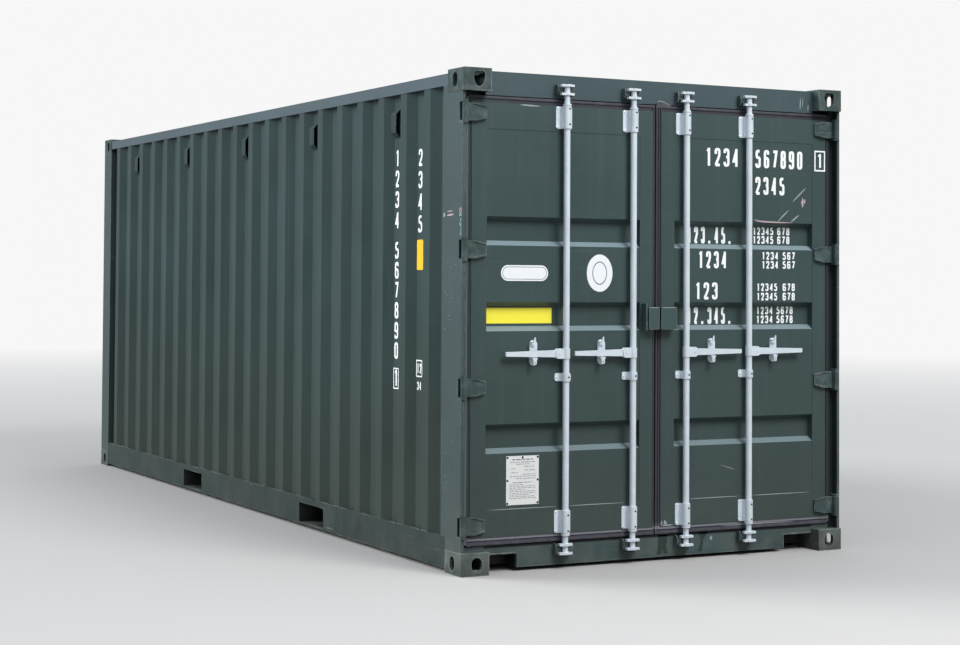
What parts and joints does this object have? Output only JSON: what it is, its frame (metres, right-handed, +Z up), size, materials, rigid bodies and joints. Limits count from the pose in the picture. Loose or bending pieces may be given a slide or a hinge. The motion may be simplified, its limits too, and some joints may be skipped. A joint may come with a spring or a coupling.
{
  "type": "twenty foot dry freight container",
  "caption": "Dark green 20 ft steel shipping container with corrugated walls, double doors with galvanised locking bars, hollow corner castings and fork pockets.",
  "frame": {"origin": "middle of the footprint, on the ground under the corner castings", "axes": "+X across the container to the right as seen from the door end, +Y along it to the closed end, +Z up"},
  "size_m": [2.438, 6.058, 2.591],
  "materials": {
    "green_paint": "worn semi-gloss dark green paint with rust at edges and scratches",
    "zinc": "galvanised, dull, with rust marks",
    "gasket_rubber": "weathered dark rubber",
    "plywood": "oiled floor plywood",
    "plate_alloy": "dull plate"
  },
  "bodies": {
    "container_shell": {"bottom_castings": "green_paint", "top_castings": "green_paint", "door_posts": "green_paint", "front_posts": "green_paint", "door_header": "green_paint", "door_sill": "green_paint", "front_rails": "green_paint", "top_rails": "green_paint", "bottom_rails": "green_paint", "side_wall_left": "green_paint", "side_wall_right": "green_paint", "front_wall": "green_paint", "roof": "green_paint", "cross_members": "green_paint", "fork_pockets": "green_paint", "floor_boards": "plywood", "vents": "green_paint", "hinge_lugs": "green_paint", "cam_keepers": "green_paint"},
    "door_left": {"door_frame_left": "green_paint", "door_panel_left": "green_paint", "door_gasket_left": "gasket_rubber", "door_hinges_left": "green_paint", "bar_brackets_left": "zinc", "handle_retainers_left": "zinc", "lock_plate_left": "green_paint", "data_plate": "plate_alloy"},
    "door_right": {"door_frame_right": "green_paint", "door_panel_right": "green_paint", "door_gasket_right": "gasket_rubber", "door_hinges_right": "green_paint", "bar_brackets_right": "zinc", "handle_retainers_right": "zinc", "lock_box_right": "green_paint"},
    "bar_1": {"locking_bar_1": "zinc"},
    "handle_1_body": {"handle_1": "zinc"},
    "catch_1_body": {"handle_catch_1": "zinc"},
    "bar_2": {"locking_bar_2": "zinc"},
    "handle_2_body": {"handle_2": "zinc"},
    "catch_2_body": {"handle_catch_2": "zinc"},
    "bar_3": {"locking_bar_3": "zinc"},
    "handle_3_body": {"handle_3": "zinc"},
    "catch_3_body": {"handle_catch_3": "zinc"},
    "bar_4": {"locking_bar_4": "zinc"},
    "handle_4_body": {"handle_4": "zinc"},
    "catch_4_body": {"handle_catch_4": "zinc"}
  },
  "joints": [
    {"name": "door_left_swing", "type": "hinge", "parent": "container_shell", "child": "door_left", "pos_m": [-1.199, -3.007, 1.3], "axis": [0, 0, -1], "range_deg": [0, 262]},
    {"name": "door_right_swing", "type": "hinge", "parent": "container_shell", "child": "door_right", "pos_m": [1.199, -3.007, 1.3], "axis": [0, 0, 1], "range_deg": [0, 262]},
    {"name": "bar_1_turn", "type": "hinge", "parent": "door_left", "child": "bar_1", "pos_m": [-0.59, -3.005, 1.3], "axis": [0, 0, -1], "range_deg": [-100, 0]},
    {"name": "handle_1_lift", "type": "hinge", "parent": "bar_1", "child": "handle_1_body", "pos_m": [-0.64, -3.005, 1.122], "axis": [0, -1, 0], "range_deg": [-10, 0]},
    {"name": "catch_1_turn", "type": "hinge", "parent": "door_left", "child": "catch_1_body", "pos_m": [-0.774, -2.983, 1.17], "axis": [0, -1, 0], "range_deg": [0, 180]},
    {"name": "bar_2_turn", "type": "hinge", "parent": "door_left", "child": "bar_2", "pos_m": [-0.172, -3.005, 1.3], "axis": [0, 0, -1], "range_deg": [-100, 0]},
    {"name": "handle_2_lift", "type": "hinge", "parent": "bar_2", "child": "handle_2_body", "pos_m": [-0.222, -3.005, 1.122], "axis": [0, -1, 0], "range_deg": [-10, 0]},
    {"name": "catch_2_turn", "type": "hinge", "parent": "door_left", "child": "catch_2_body", "pos_m": [-0.356, -2.983, 1.17], "axis": [0, -1, 0], "range_deg": [0, 180]},
    {"name": "bar_3_turn", "type": "hinge", "parent": "door_right", "child": "bar_3", "pos_m": [0.172, -3.005, 1.3], "axis": [0, 0, 1], "range_deg": [-100, 0]},
    {"name": "handle_3_lift", "type": "hinge", "parent": "bar_3", "child": "handle_3_body", "pos_m": [0.222, -3.005, 1.122], "axis": [0, 1, 0], "range_deg": [-10, 0]},
    {"name": "catch_3_turn", "type": "hinge", "parent": "door_right", "child": "catch_3_body", "pos_m": [0.356, -2.983, 1.17], "axis": [0, 1, 0], "range_deg": [0, 180]},
    {"name": "bar_4_turn", "type": "hinge", "parent": "door_right", "child": "bar_4", "pos_m": [0.59, -3.005, 1.3], "axis": [0, 0, 1], "range_deg": [-100, 0]},
    {"name": "handle_4_lift", "type": "hinge", "parent": "bar_4", "child": "handle_4_body", "pos_m": [0.64, -3.005, 1.122], "axis": [0, 1, 0], "range_deg": [-10, 0]},
    {"name": "catch_4_turn", "type": "hinge", "parent": "door_right", "child": "catch_4_body", "pos_m": [0.774, -2.983, 1.17], "axis": [0, 1, 0], "range_deg": [0, 180]}
  ]
}
